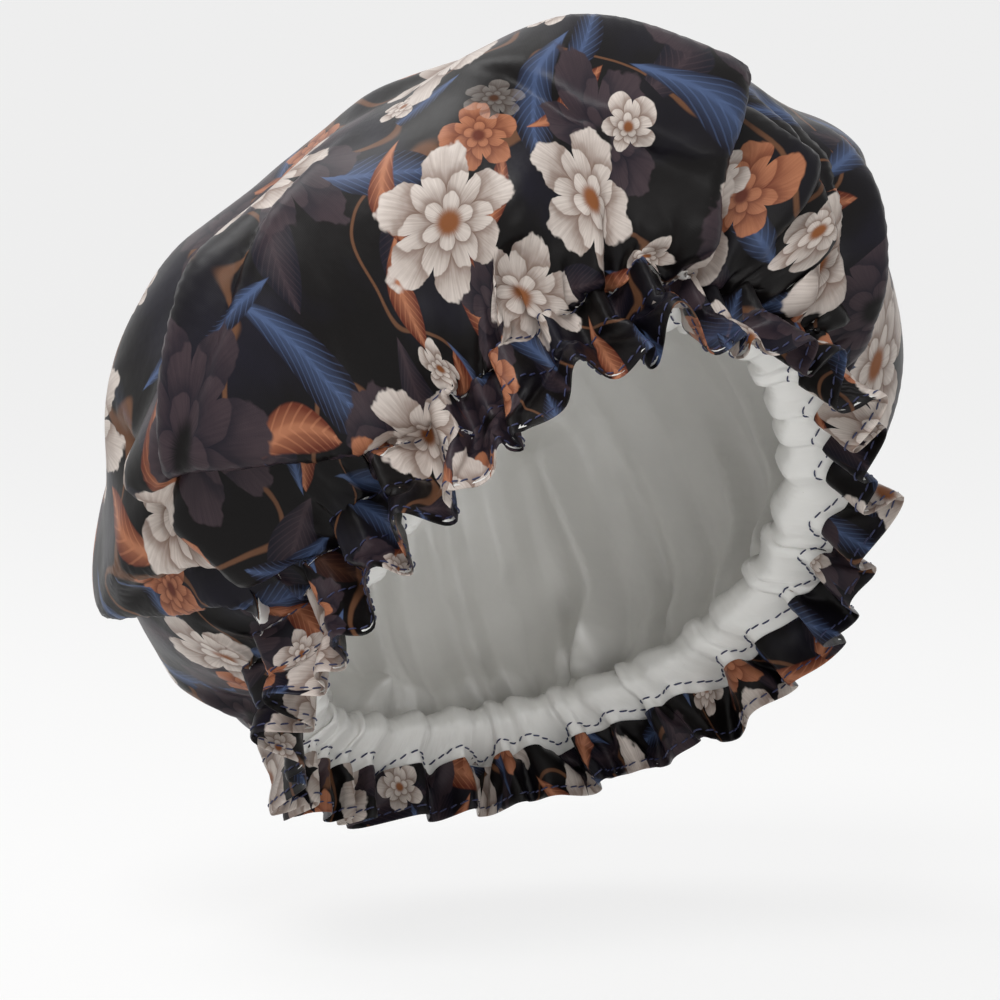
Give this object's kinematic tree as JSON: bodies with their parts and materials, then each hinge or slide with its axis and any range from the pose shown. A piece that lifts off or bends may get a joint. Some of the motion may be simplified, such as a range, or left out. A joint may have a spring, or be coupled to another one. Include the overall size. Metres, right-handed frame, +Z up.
{
  "type": "shower cap",
  "caption": "Puffed shower cap as worn: printed outer crown over a waterproof lining, gathered by an elastic in a stitched casing, with a pleated ruffle below that the printed cloth also faces inside.",
  "frame": {"origin": "centre of the head opening, level with the upper row of casing stitches", "axes": "+Z up as worn on an upright head, -Y towards the forehead, +X towards the wearer's left; the opening's plane tilts 43 degrees, forehead high and nape low"},
  "size_m": [0.2671, 0.2535, 0.2608],
  "materials": {
    "printed_fabric": "satin coated polyester, dark floral print",
    "lining_film": "milky waterproof film",
    "elastic": "woven elastic",
    "navy_thread": "polyester sewing thread",
    "pale_thread": "polyester sewing thread"
  },
  "bodies": {
    "root": {"outer_crown": "printed_fabric", "inner_lining": "lining_film", "elastic_band": "elastic", "elastic_join_stitch": "pale_thread", "casing_upper_stitch": "navy_thread", "casing_lower_stitch": "navy_thread", "hem_stitch": "navy_thread"}
  },
  "joints": []
}
